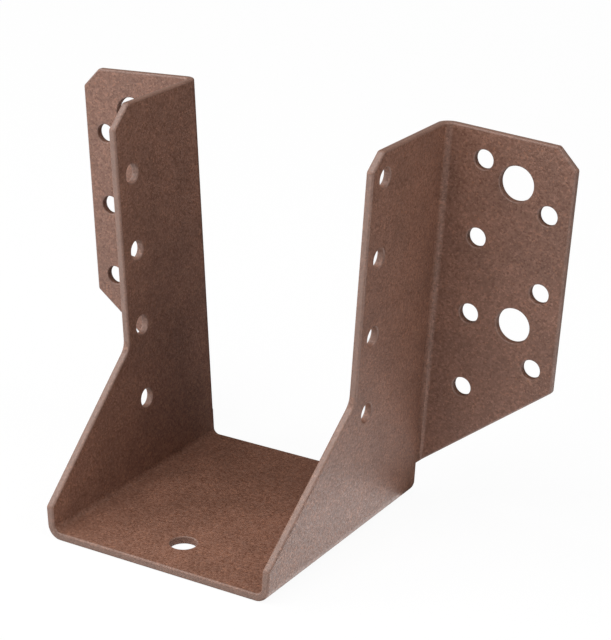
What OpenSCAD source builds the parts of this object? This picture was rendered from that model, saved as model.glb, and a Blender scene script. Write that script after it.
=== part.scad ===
// Joist hanger folded from one steel sheet: a flat seat, two upright walls
// with a sloped front edge, and two header flanges turned outwards.
// Millimetres, +Z up, the joist comes in from -Y, the header is at +Y.
// Origin: middle of the outline in X and Y, underside of the seat in Z.

/* [Sheet] */
// Thickness of the coated sheet
sheet_thickness = 2.0; // [1:0.1:3]
// Outer radius of the bends between the seat and the walls
seat_bend_radius = 3.7; // [3.2:0.1:7]
// Outer radius of the bends between the walls and the flanges
flange_bend_radius = 3.8; // [3.2:0.1:7]
// Outward lean of each wall, in degrees
wall_splay = 3.3; // [0:0.1:5]

/* [Seat] */
// Clear width between the walls, just above the seat bends
joist_width = 60.3; // [45:0.1:100]
// Front edge of the seat to the rear plane of the flanges
hanger_depth = 73.4; // [60:0.1:90]
// Rear edge of the seat to the rear plane of the flanges
seat_setback = 2.1; // [1.6:0.1:4]
// Diameter of the hole in the seat
seat_hole_diameter = 6.7; // [3:0.1:10]
// Centre of the seat hole to the front edge of the seat
seat_hole_inset = 12.3; // [8:0.1:24]

/* [Walls] */
// Height of the walls over the underside of the seat
hanger_height = 100.8; // [92:0.1:125]
// Front edge of the upper wall to the rear plane
upper_wall_depth = 37.8; // [33:0.1:50]
// Height of the knee where the sloped front edge ends
knee_height = 38.5; // [25:0.1:60]
// Radius of the knee
knee_radius = 4.4; // [1:0.1:8]
// Height at the front where the sloped edge starts
slope_start = 8.6; // [7.2:0.1:14]
// Right wall, top corner cut along the top edge
right_cut_run = 4.7; // [2:0.1:8]
// Right wall, top corner cut down the front edge
right_cut_drop = 4.1; // [2:0.1:8]
// Left wall, top corner cut along the top edge
left_cut_run = 6.4; // [2:0.1:9]
// Left wall, top corner cut down the front edge
left_cut_drop = 5.4; // [2:0.1:9]

/* [Flanges] */
// Width of each flange, outer face of the wall to the free edge
flange_width = 34.6; // [30:0.1:50]
// Outer top corner cut along the top edge
flange_cut_run = 5.3; // [2:0.1:8]
// Outer top corner cut down the free edge
flange_cut_drop = 4.9; // [2:0.1:8]
// Height of the lower flange edge at the wall
flange_low_inner = 9.1; // [8:0.1:16]
// Height of the lower flange edge at the free edge
flange_low_outer = 38.5; // [20:0.1:55]
// Radius of the lower outer flange corner
flange_corner_radius = 1.0; // [0.3:0.1:3]

/* [Nail holes] */
// Diameter of the nail holes
nail_diameter = 5.0; // [3:0.1:6]
// Pitch of the nail holes in a column
nail_pitch = 20; // [14:0.1:22]
// Inner flange column to the outer face of the wall
inner_column_inset = 10.4; // [8:0.1:12]
// Top hole of the inner flange column, below the top edge
inner_column_top = 7.4; // [6:0.1:10]
// Outer flange column to the free edge
outer_column_inset = 6.1; // [4.5:0.1:8]
// Top hole of the outer flange column, below the top edge
outer_column_top = 17.6; // [15:0.1:20]
// Wall column to the front edge of the upper wall
wall_column_inset = 6.0; // [4.5:0.1:9]
// Top hole of the right wall, below the top edge
right_column_top = 6.7; // [5.5:0.1:12]
// Top hole of the left wall, below the top edge
left_column_top = 17.9; // [12:0.1:22]

/* [Bolt holes] */
// Diameter of the bolt holes
bolt_diameter = 9.0; // [6:0.1:11]
// Upper bolt hole to the free edge of the flange
upper_bolt_inset = 15.0; // [14:0.1:18]
// Upper bolt hole below the top edge
upper_bolt_drop = 11.5; // [9:0.1:14]
// Lower bolt hole to the free edge of the flange
lower_bolt_inset = 12.1; // [11:0.1:16]
// Lower bolt hole below the top edge
lower_bolt_drop = 47.5; // [44:0.1:50]

/* [Hidden] */
$fn = 96;
over = 1;
fold_angle = 90;
inner_nails = 4;
outer_nails = 3;
wall_nails = 4;
rear = hanger_depth / 2;
front = -rear;
seat_rear = rear - seat_setback;
seat_length = seat_rear - front;
seat_bend_inner = seat_bend_radius - sheet_thickness;
flange_bend_inner = flange_bend_radius - sheet_thickness;
wall_in = joist_width / 2;
wall_out = wall_in + sheet_thickness;
bend_x = wall_out - seat_bend_radius;
upper_front = rear - upper_wall_depth;
fold_x = wall_out + flange_bend_inner;
fold_y = rear - flange_bend_radius;
free_edge = wall_out + flange_width;
low_slope = (flange_low_outer - flange_low_inner) / flange_width;
wall_column = upper_front + wall_column_inset;
// the lean's cosine is kept to six places, so its sine matches it closely
splay_cos = round(cos(wall_splay) * 1e6) / 1e6;
splay_sin = sqrt(1 - splay_cos * splay_cos);
// rounding arcs cross their edges by a hair instead of grazing them
arc_cross = 1.003;
// sloped front edge: angle from the horizontal
slope_angle = atan2(knee_height - slope_start, upper_front - front);
knee_tangent = knee_radius * tan((fold_angle - slope_angle) / 2);
// lower flange edge: angle from the horizontal
low_angle = atan2(flange_low_outer - flange_low_inner, flange_width);
corner_tangent = flange_corner_radius * tan((fold_angle - low_angle) / 2);

// plate standing in the YZ plane, from the inner to the outer wall face
module wall_plate(points) {
  translate([wall_in, 0, 0])
    rotate([90, 0, 90])
      linear_extrude(height = sheet_thickness)
        polygon(points);
}

// plate standing in the XZ plane, rear face on the rear plane
module flange_plate(points) {
  translate([0, rear, 0])
    rotate([90, 0, 0])
      linear_extrude(height = sheet_thickness)
        polygon(points);
}

// turns a side of the sheet outwards about the axis of its seat bend
module splayed() {
  translate([bend_x, 0, seat_bend_radius])
    multmatrix([
      [splay_cos, 0, splay_sin, 0],
      [0, 1, 0, 0],
      [-splay_sin, 0, splay_cos, 0],
      [0, 0, 0, 1]
    ])
      translate([-bend_x, 0, -seat_bend_radius])
        children();
}

// bend between the seat and one wall, before its seat end is trimmed
module seat_bend() {
  translate([bend_x, seat_rear, seat_bend_radius])
    rotate([90, 0, 0])
      rotate([0, 0, -fold_angle])
        rotate_extrude(angle = fold_angle)
          translate([seat_bend_inner, 0])
            square([sheet_thickness, seat_length]);
}

// the splayed bend reaches past the seat plane, and this trims it flush
module seat_trim() {
  translate([bend_x - seat_bend_radius, front - over, -over])
    cube([seat_bend_radius, seat_length + 2 * over, sheet_thickness + 2 * over]);
}

// flat wall with its sloped front edge, cut top corner and low rear tab
module wall_sheet(cut_run, cut_drop) {
  wall_plate([
    [front, seat_bend_radius],
    [seat_rear, seat_bend_radius],
    [seat_rear, flange_low_inner],
    [fold_y, flange_low_inner],
    [fold_y, hanger_height],
    [upper_front + cut_run, hanger_height],
    [upper_front, hanger_height - cut_drop],
    [upper_front, knee_height],
    [front, slope_start]
  ]);
  knee_web();
}

// small web that rounds the knee, rooted inside the wall
module knee_web() {
  centre_y = upper_front - knee_radius;
  centre_z = knee_height + knee_tangent;
  reach = knee_radius + over;
  difference() {
    wall_plate([
      [centre_y, centre_z],
      [upper_front + over, centre_z],
      [upper_front + over, knee_height - over],
      [centre_y + reach * sin(slope_angle), centre_z - reach * cos(slope_angle)]
    ]);
    translate([wall_in - over, centre_y, centre_z])
      rotate([0, 90, 0])
        cylinder(r = knee_radius * arc_cross, h = sheet_thickness + 2 * over);
  }
}

// bend between the wall and the flange, down to the low end of the flange
module flange_bend() {
  translate([fold_x, fold_y, flange_low_inner])
    rotate([0, 0, fold_angle])
      rotate_extrude(angle = fold_angle)
        translate([flange_bend_inner, 0])
          square([sheet_thickness, hanger_height - flange_low_inner]);
}

// flat header flange with its cut top corner
module flange_sheet() {
  flange_plate([
    [fold_x, flange_low_inner],
    [free_edge, flange_low_inner],
    [free_edge, hanger_height - flange_cut_drop],
    [free_edge - flange_cut_run, hanger_height],
    [fold_x, hanger_height]
  ]);
}

// waste below the flange, taken off its bend and its flat in one cut
module flange_waste() {
  far = flange_width + over;
  far_height = flange_low_inner + low_slope * far;
  translate([wall_out, rear + over, 0])
    rotate([90, 0, 0])
      linear_extrude(height = flange_bend_radius + 2 * over)
        polygon([
          [0, flange_low_inner],
          [far, far_height],
          [far, flange_low_inner - over],
          [over, flange_low_inner - over]
        ]);
}

// waste that rounds the lower outer flange corner
module flange_corner() {
  centre_x = free_edge - flange_corner_radius;
  centre_z = flange_low_outer + corner_tangent;
  reach = flange_corner_radius + over;
  difference() {
    translate([0, rear + over, 0])
      rotate([90, 0, 0])
        linear_extrude(height = sheet_thickness + 2 * over)
          polygon([
            [centre_x, centre_z],
            [free_edge + over, centre_z],
            [free_edge + over, flange_low_outer - over],
            [centre_x + reach * sin(low_angle), centre_z - reach * cos(low_angle)]
          ]);
    translate([centre_x, rear + 2 * over, centre_z])
      rotate([90, 0, 0])
        cylinder(r = flange_corner_radius * arc_cross, h = sheet_thickness + 4 * over);
  }
}

// round hole through a flange
module flange_hole(x, z, diameter) {
  translate([x, rear + over, z])
    rotate([90, 0, 0])
      cylinder(d = diameter, h = sheet_thickness + 2 * over);
}

// nail and bolt holes of one flange
module flange_holes() {
  for (i = [0 : inner_nails - 1])
    flange_hole(
      wall_out + inner_column_inset,
      hanger_height - inner_column_top - i * nail_pitch,
      nail_diameter
    );
  for (i = [0 : outer_nails - 1])
    flange_hole(
      free_edge - outer_column_inset,
      hanger_height - outer_column_top - i * nail_pitch,
      nail_diameter
    );
  flange_hole(free_edge - upper_bolt_inset, hanger_height - upper_bolt_drop, bolt_diameter);
  flange_hole(free_edge - lower_bolt_inset, hanger_height - lower_bolt_drop, bolt_diameter);
}

// column of nail holes through one wall
module wall_holes(column_top) {
  for (i = [0 : wall_nails - 1])
    translate([wall_in - over, wall_column, hanger_height - column_top - i * nail_pitch])
      rotate([0, 90, 0])
        cylinder(d = nail_diameter, h = sheet_thickness + 2 * over);
}

// one side of the sheet: its seat bend, wall, flange bend and flange
module side(cut_run, cut_drop, column_top) {
  difference() {
    splayed()
      difference() {
        union() {
          seat_bend();
          wall_sheet(cut_run, cut_drop);
          flange_bend();
          flange_sheet();
        }
        flange_waste();
        flange_corner();
        flange_holes();
        wall_holes(column_top);
      }
    seat_trim();
  }
}

// flat seat with its hole
module seat() {
  difference() {
    translate([-bend_x, front, 0])
      cube([2 * bend_x, seat_length, sheet_thickness]);
    translate([0, front + seat_hole_inset, -over])
      cylinder(d = seat_hole_diameter, h = sheet_thickness + 2 * over);
  }
}

module joist_hanger() {
  color([0.36, 0.27, 0.23])
    union() {
      seat();
      side(right_cut_run, right_cut_drop, right_column_top);
      mirror([1, 0, 0]) side(left_cut_run, left_cut_drop, left_column_top);
    }
}

joist_hanger();
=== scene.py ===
"""Looks of the joist hanger: softened coated sheet, speckled powder coat, pale studio and camera."""

import math

import bmesh
import bpy
from mathutils import Matrix, Vector


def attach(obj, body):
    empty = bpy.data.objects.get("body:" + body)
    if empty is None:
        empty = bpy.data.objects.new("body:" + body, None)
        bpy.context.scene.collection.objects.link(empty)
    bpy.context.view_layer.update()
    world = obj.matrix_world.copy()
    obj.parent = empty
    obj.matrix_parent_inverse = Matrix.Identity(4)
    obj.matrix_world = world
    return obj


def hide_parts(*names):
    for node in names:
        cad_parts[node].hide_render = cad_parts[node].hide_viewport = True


NODE = "joist_hanger"
BODY = "root"

# The view: where the camera stands, the point that it looks at, and how far it is rolled
CAMERA_PLACE = (0.25671, -0.39472, 0.23324)
CAMERA_AIM = (0.01411, 0.00849, 0.05264)
CAMERA_ROLL = 0.744
CAMERA_LENS = 115.88
SENSOR_LONG_SIDE = 36.0
CAMERA_REACH = (0.01, 20.0)

# The coated edges, angles in degrees. Faces flatter than the first angle are one face, and edges
# sharper than the second are softened, except close to an inner corner.
FLAT_ANGLE = 0.5
EDGE_ANGLE = 25.0
EDGE_ROUND = 0.00050
HOLE_ROUND = 0.00030
EDGE_STEPS = 3
EDGE_PROFILE = 0.5
CORNER_CLEAR = 0.0015
SAME_PLACE = 1e-7
SLIVER = 1e-6
FLAT_FACE_WEIGHT = 100

# Where the coat lies thin and carries a painted sheen: fully on a cut strip, partly in a hole and on
# a softened edge
EDGE_MARK = "cut_edge"
CUT_SHARE = 1.0
HOLE_SHARE = 0.3
ROUND_SHARE = 0.6
CUT_WIDTH = 0.0025
RIM_STEP = 0.0010

# The powder coat: its mean colour, and where each kind of grain starts and how it shifts that colour
COAT_COLOR = (0.183, 0.086, 0.056)
GRAINS = (
    ("umber", 0.00, (0.71, 0.63, 0.57)),
    ("deep", 0.09, (0.86, 0.82, 0.79)),
    ("brown", 0.38, (1.00, 1.00, 1.00)),
    ("warm", 0.67, (1.14, 1.18, 1.21)),
    ("copper", 0.87, (1.32, 1.31, 1.26)),
    ("ash", 0.93, (1.41, 1.57, 1.70)),
)
FLAKE_START = 0.93
FLAKE_METALLIC = 0.3
GRAIN_SIZE = 0.00047
GRAIN_RELIEF = 0.6
DUST_SIZE = 0.00019
DUST_DEPTH = 0.14
DUST_RELIEF = 0.3
MOTTLE_SIZE = 0.009
MOTTLE_DEPTH = 0.10
MOTTLE_RANGE = (0.3, 0.7)
MOTTLE_NOISE = (2, 0.5)
PEEL_SIZE = 0.0006
PEEL_HEIGHT = 0.00006
PEEL_NOISE = (3, 0.6)
# The edge colour is lighter and greyer than the coat: partly the thinner coat, partly painted sheen
# on the rims
THIN_COAT_AND_SHEEN_MIX = 0.60
THIN_COAT_AND_SHEEN_COLOR = (0.218, 0.146, 0.120)
COAT_ROUGHNESS = (0.40, 0.56)
COAT_SPECULAR = 0.5

# The lamps: each one's bearing and height in degrees round the part, and its power
LAMP_CENTRE = (0.0, 0.0, 0.05)
LAMP_DISTANCE = 1.5
LAMP_SIZE = 0.8
LAMPS = (
    ("left_low", -60, 16, 13.2),
    ("left_high", -85, 45, 6.9),
    ("front_high", 0, 42, 4.4),
    ("top", -30, 68, 12.3),
    ("right_front", 45, 62, 5.0),
    ("right_high", 90, 42, 6.5),
    ("right_low", 90, 16, 2.8),
)
AMBIENT = 0.0

# The cards on the floor: each one's place, width, depth and power
CARDS = (
    ("near_card", (0.0435, -0.0060, 0.001), 0.024, 0.070, 0.0095),
    ("wall_card", (0.0700, 0.0240, 0.001), 0.045, 0.066, 0.0172),
    ("far_card", (0.1200, 0.0700, 0.001), 0.060, 0.060, 0.0350),
    ("left_card", (-0.1250, -0.0300, 0.001), 0.090, 0.080, 0.0350),
    ("lip_card", (0.0000, -0.0560, 0.001), 0.080, 0.030, 0.0060),
    ("front_card", (-0.1000, -0.1700, 0.001), 0.300, 0.200, 0.2000),
)

# The floor. It turns wholly white to the eye further out. In mirror images it carries painted shade:
# dark behind the part, from the first depth to the second, and dim close to the part.
FLOOR_RADIUS = 5.0
FLOOR_SIDES = 96
BACKDROP_HEIGHT = 1.0
FLOOR_COLOR = 0.80
FLOOR_WHITE = (0.3, 1.2, 0.94, 1.0)
PAINTED_SHADE_DEPTH = (0.025, 0.050)
NEAR_SHADE = (0.06, 0.18, 0.6, 0.0)


# ---------------------------------------------------------------- shapes
def new_object(name, mesh):
    """A mesh object in the scene."""
    piece = bpy.data.objects.new(name, mesh)
    bpy.context.scene.collection.objects.link(piece)
    return piece


def beside(edge, places):
    """Whether both ends of an edge lie next to one of these places."""
    return all(min((v.co - p).length for p in places) < CORNER_CLEAR for v in edge.verts)


def thin_share(face, sharp):
    """How much of the thin coat and its painted sheen a face takes. A wall of a hole or round corner
    is made of short steps.
    """
    rim = [e.calc_length() for e in face.edges if e in sharp]
    rest = [e.calc_length() for e in face.edges if e not in sharp]
    if len(rim) == len(rest) == 2 and max(rest) < CUT_WIDTH:
        return HOLE_SHARE
    around = sum(rim) + sum(rest)
    narrow = face.calc_area() < CUT_WIDTH / 2 * around
    return CUT_SHARE if narrow and max(rest, default=0.0) < CUT_WIDTH else 0.0


def hole_rims(sharp):
    """The rims of the round holes: the runs of joined edges that hold nothing but short ones."""
    left = set(sharp)
    rims = []
    for start in sharp:
        if start not in left:
            continue
        left.discard(start)
        run = [start]
        for edge in run:
            near = [e for v in edge.verts for e in v.link_edges if e in left]
            left.difference_update(near)
            run.extend(near)
        if max(e.calc_length() for e in run) < RIM_STEP:
            rims.extend(run)
    return rims


def coated_sheet(cad, name):
    """The folded sheet with every cut edge softened, as a thick coat leaves it."""
    bm = bmesh.new()
    bm.from_mesh(cad.data)
    bmesh.ops.remove_doubles(bm, verts=bm.verts, dist=SAME_PLACE)
    flat = math.radians(FLAT_ANGLE)
    bmesh.ops.dissolve_limit(bm, angle_limit=flat, verts=bm.verts, edges=bm.edges)
    mark = bm.faces.layers.float.new(EDGE_MARK)
    sharp = [e for e in bm.edges if e.calc_face_angle(0) > math.radians(EDGE_ANGLE)]
    torn = [v.co.copy() for e in sharp if not e.is_convex for v in e.verts]
    sharp = [e for e in sharp if e.is_convex and not beside(e, torn)]
    edges_of_sheet = set(sharp)
    for face in bm.faces:
        # Each face's share of the thin coat and its painted sheen
        face[mark] = thin_share(face, edges_of_sheet)
    rims = hole_rims(sharp)
    outline = [e for e in sharp if e not in rims]
    for edges, width in ((rims, HOLE_ROUND), (outline, EDGE_ROUND)):
        rounded = bmesh.ops.bevel(
            bm,
            geom=edges,
            offset=width,
            offset_type="OFFSET",
            segments=EDGE_STEPS,
            profile=EDGE_PROFILE,
            affect="EDGES",
            clamp_overlap=False,
            loop_slide=False,
        )
        for face in rounded["faces"]:
            face[mark] = ROUND_SHARE
    for face in bm.faces:
        face.smooth = True
    bmesh.ops.dissolve_degenerate(bm, dist=SLIVER, edges=bm.edges)
    mesh = bpy.data.meshes.new(name)
    bm.to_mesh(mesh)
    bm.free()
    mesh.materials.clear()
    return new_object(name, mesh)


def weighted_normals(piece):
    """Flat faces stay flat in shading, and only the softened edges turn."""
    turn = piece.modifiers.new("flat_faces_first", "WEIGHTED_NORMAL")
    turn.mode = "FACE_AREA"
    turn.weight = FLAT_FACE_WEIGHT
    turn.keep_sharp = False


# ---------------------------------------------------------------- materials
class Tree:
    """A short way to write a node tree."""

    def __init__(self, tree):
        self.tree = tree
        self.nodes = tree.nodes
        self.nodes.clear()

    def node(self, kind, settings=None, **inputs):
        """A new node, with its settings and what goes into its sockets."""
        made = self.nodes.new(kind)
        for key, value in (settings or {}).items():
            setattr(made, key, value)
        for key, value in inputs.items():
            self.feed(made, key.replace("_", " "), value)
        return made

    def feed(self, made, key, value):
        """Link a socket, or set its number or colour. A key of digits is the socket's place."""
        socket = made.inputs[int(key)] if key.isdigit() else made.inputs[key]
        if isinstance(value, bpy.types.NodeSocket):
            self.tree.links.new(value, socket)
        else:
            socket.default_value = value

    def math(self, operation, a, b=0.0, clamp=False):
        made = self.node("ShaderNodeMath", {"operation": operation, "use_clamp": clamp})
        self.feed(made, "0", a)
        self.feed(made, "1", b)
        return made.outputs[0]

    def mix(self, factor, a, b, blend="MIX"):
        made = self.node("ShaderNodeMix", {"data_type": "RGBA", "blend_type": blend})
        for index, value in ((0, factor), (6, a), (7, b)):
            self.feed(made, str(index), value)
        return made.outputs[2]

    def ramp(self, factor, stops, interpolation="LINEAR"):
        made = self.node("ShaderNodeValToRGB")
        band = made.color_ramp
        band.interpolation = interpolation
        while len(band.elements) < len(stops):
            band.elements.new(1.0)
        for element, (place, color) in zip(band.elements, stops):
            element.position = place
            element.color = (*color, 1.0)
        self.tree.links.new(factor, made.inputs[0])
        return made.outputs[0]

    def spread(self, value, low, high, out_low, out_high):
        made = self.node("ShaderNodeMapRange", {"clamp": True})
        for index, number in enumerate((value, low, high, out_low, out_high)):
            self.feed(made, str(index), number)
        return made.outputs[0]


def grey(value):
    """A grey as three equal parts."""
    return (value, value, value)


def powder_coat(name):
    """Brown powder coat: sand-like grains of several browns, copper and ash flakes, orange peel."""
    material = bpy.data.materials.new(name)
    material.use_nodes = True
    t = Tree(material.node_tree)
    place = t.node("ShaderNodeTexCoord").outputs["Object"]

    def noise(size, detail, roughness):
        """Soft noise with features of about this size."""
        made = t.node("ShaderNodeTexNoise", Vector=place, Scale=1 / size, Detail=detail)
        made.inputs["Roughness"].default_value = roughness
        return made.outputs["Fac"]

    cells = t.node("ShaderNodeTexVoronoi", Vector=place, Scale=1 / GRAIN_SIZE)
    pick = t.node("ShaderNodeSeparateColor", Color=cells.outputs["Color"])
    tones = [
        (start, tuple(f * c for f, c in zip(factor, COAT_COLOR))) for _, start, factor in GRAINS
    ]
    color = t.ramp(pick.outputs[0], tones, "CONSTANT")
    dust = t.node("ShaderNodeTexVoronoi", Vector=place, Scale=1 / DUST_SIZE)
    fine = t.node("ShaderNodeSeparateColor", Color=dust.outputs["Color"]).outputs[0]
    low, high = 1 - DUST_DEPTH, 1 + DUST_DEPTH
    color = t.mix(1.0, color, t.ramp(fine, [(0, grey(low)), (1, grey(high))]), "MULTIPLY")
    low, high = 1 - MOTTLE_DEPTH, 1 + MOTTLE_DEPTH
    stops = list(zip(MOTTLE_RANGE, (grey(low), grey(high))))
    cloud = t.ramp(noise(MOTTLE_SIZE, *MOTTLE_NOISE), stops)
    color = t.mix(1.0, color, cloud, "MULTIPLY")
    edge = t.node("ShaderNodeAttribute", {"attribute_name": EDGE_MARK}).outputs["Fac"]
    # Cut strips, hole walls and softened edges turn lighter and greyer: partly the thin coat, partly
    # painted sheen
    color = t.mix(t.math("MULTIPLY", edge, THIN_COAT_AND_SHEEN_MIX), color, (*THIN_COAT_AND_SHEEN_COLOR, 1))

    flake = t.math("GREATER_THAN", pick.outputs[0], FLAKE_START)
    rough = t.spread(pick.outputs[1], 0, 1, *COAT_ROUGHNESS)
    peel = noise(PEEL_SIZE, *PEEL_NOISE)
    peel = t.math("ADD", peel, t.math("MULTIPLY", fine, DUST_RELIEF))
    peel = t.math("SUBTRACT", peel, t.math("MULTIPLY", cells.outputs["Distance"], GRAIN_RELIEF))
    bump = t.node("ShaderNodeBump", Height=peel, Distance=PEEL_HEIGHT, Strength=1.0)
    shader = t.node("ShaderNodeBsdfPrincipled", Roughness=rough, Normal=bump.outputs[0])
    t.feed(shader, "Specular IOR Level", COAT_SPECULAR)
    t.feed(shader, "Base Color", color)
    t.feed(shader, "Metallic", t.math("MULTIPLY", flake, FLAKE_METALLIC))
    t.node("ShaderNodeOutputMaterial", Surface=shader.outputs[0])
    return material


def stage_white(name):
    """Matt white floor. The eye sees it nearly white and it keeps the shadow; mirrors see it white,
    with painted shade behind and close to the part.
    """
    material = bpy.data.materials.new(name)
    material.use_nodes = True
    t = Tree(material.node_tree)
    place = t.node("ShaderNodeTexCoord").outputs["Object"]
    away = t.node("ShaderNodeVectorMath", {"operation": "LENGTH"})
    t.tree.links.new(place, away.inputs[0])
    away = away.outputs["Value"]
    ray = t.node("ShaderNodeLightPath").outputs
    seen = t.math("MULTIPLY", ray["Is Camera Ray"], t.spread(away, *FLOOR_WHITE))
    mirrored = t.math("ADD", ray["Is Glossy Ray"], ray["Is Transmission Ray"], True)
    share = t.math("ADD", seen, mirrored, True)
    depth = t.node("ShaderNodeSeparateXYZ", Vector=place).outputs["Y"]
    # Painted shade in the floor's mirror image: dark behind the part and dim close to it
    shade = t.math("ADD", t.spread(depth, *PAINTED_SHADE_DEPTH, 0.0, 1.0), t.spread(away, *NEAR_SHADE), True)
    strength = t.math("SUBTRACT", 1.0, t.math("MULTIPLY", mirrored, shade), True)
    matt = t.node("ShaderNodeBsdfDiffuse", Color=(*grey(FLOOR_COLOR), 1))
    glow = t.node("ShaderNodeEmission", Color=(1, 1, 1, 1), Strength=strength)
    both = t.node("ShaderNodeMixShader")
    for index, value in enumerate((share, matt.outputs[0], glow.outputs[0])):
        t.feed(both, str(index), value)
    t.node("ShaderNodeOutputMaterial", Surface=both.outputs[0])
    return material


# ---------------------------------------------------------------- stage, lamps and camera
def floor_and_backdrop(name):
    """A round floor with a low wall far away."""
    bm = bmesh.new()
    bmesh.ops.create_circle(bm, cap_ends=True, radius=FLOOR_RADIUS, segments=FLOOR_SIDES)
    rim = [e for e in bm.edges if e.is_boundary]
    wall = bmesh.ops.extrude_edge_only(bm, edges=rim)["geom"]
    lift = [v for v in wall if isinstance(v, bmesh.types.BMVert)]
    bmesh.ops.translate(bm, verts=lift, vec=(0, 0, BACKDROP_HEIGHT))
    mesh = bpy.data.meshes.new(name)
    bm.to_mesh(mesh)
    bm.free()
    mesh.materials.append(stage_white(name))
    stage = new_object(name, mesh)


def lamp(name, bearing, height, watts):
    """A soft box that looks at the part. Bearing 0 is in front, 90 on the right."""
    data = bpy.data.lights.new(name, "AREA")
    data.shape = "SQUARE"
    data.size = LAMP_SIZE
    data.energy = watts
    box = bpy.data.objects.new(name, data)
    bpy.context.scene.collection.objects.link(box)
    turn, rise = math.radians(bearing), math.radians(height)
    flat = math.cos(rise)
    towards = Vector((math.sin(turn) * flat, -math.cos(turn) * flat, math.sin(rise)))
    box.location = Vector(LAMP_CENTRE) + towards * LAMP_DISTANCE
    box.rotation_mode = "QUATERNION"
    box.rotation_quaternion = (-towards).to_track_quat("-Z", "Y")
    box.visible_camera = False


def sheen_card(name, place, width, depth, watts):
    """A white card that lies beside the part. Only its soft mirror image in the coat shows."""
    data = bpy.data.lights.new(name, "AREA")
    data.shape = "RECTANGLE"
    data.size = width
    data.size_y = depth
    data.energy = watts
    card = bpy.data.objects.new(name, data)
    bpy.context.scene.collection.objects.link(card)
    card.location = place
    card.rotation_euler = (math.pi, 0, 0)
    card.visible_camera = False
    card.visible_diffuse = False


def ambient():
    """The world gives no light of its own: the lamps and the floor do."""
    world = bpy.data.worlds.new("studio")
    bpy.context.scene.world = world
    world.use_nodes = True
    sky = world.node_tree.nodes["Background"]
    sky.inputs["Color"].default_value = (1, 1, 1, 1)
    sky.inputs["Strength"].default_value = AMBIENT


def camera():
    """The camera of the photo."""
    data = bpy.data.cameras.new("camera")
    data.lens = CAMERA_LENS
    data.sensor_width = SENSOR_LONG_SIDE
    data.sensor_fit = "AUTO"
    data.clip_start, data.clip_end = CAMERA_REACH
    eye = bpy.data.objects.new("camera", data)
    bpy.context.scene.collection.objects.link(eye)
    forward = (Vector(CAMERA_AIM) - Vector(CAMERA_PLACE)).normalized()
    level = forward.cross(Vector((0, 0, 1))).normalized()
    upright = level.cross(forward)
    roll = math.radians(CAMERA_ROLL)
    right = level * math.cos(roll) + upright * math.sin(roll)
    up = right.cross(forward)
    turn = Matrix((right, up, -forward)).transposed().to_4x4()
    eye.matrix_world = Matrix.Translation(CAMERA_PLACE) @ turn
    bpy.context.scene.camera = eye


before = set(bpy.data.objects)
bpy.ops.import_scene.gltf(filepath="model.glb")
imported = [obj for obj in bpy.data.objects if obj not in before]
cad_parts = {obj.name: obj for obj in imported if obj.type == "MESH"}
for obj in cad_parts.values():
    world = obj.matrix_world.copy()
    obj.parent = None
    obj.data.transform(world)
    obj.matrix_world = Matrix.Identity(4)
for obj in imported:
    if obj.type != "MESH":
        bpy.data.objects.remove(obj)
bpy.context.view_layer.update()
bpy.context.scene.view_settings.view_transform = "Standard"
sheet = coated_sheet(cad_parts[NODE], "coated_sheet")
weighted_normals(sheet)
sheet.data.materials.append(powder_coat("powder_coat"))
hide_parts(NODE)
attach(sheet, BODY)
floor_and_backdrop("floor")
for values in LAMPS:
    lamp(*values)
for values in CARDS:
    sheen_card(*values)
ambient()
camera()
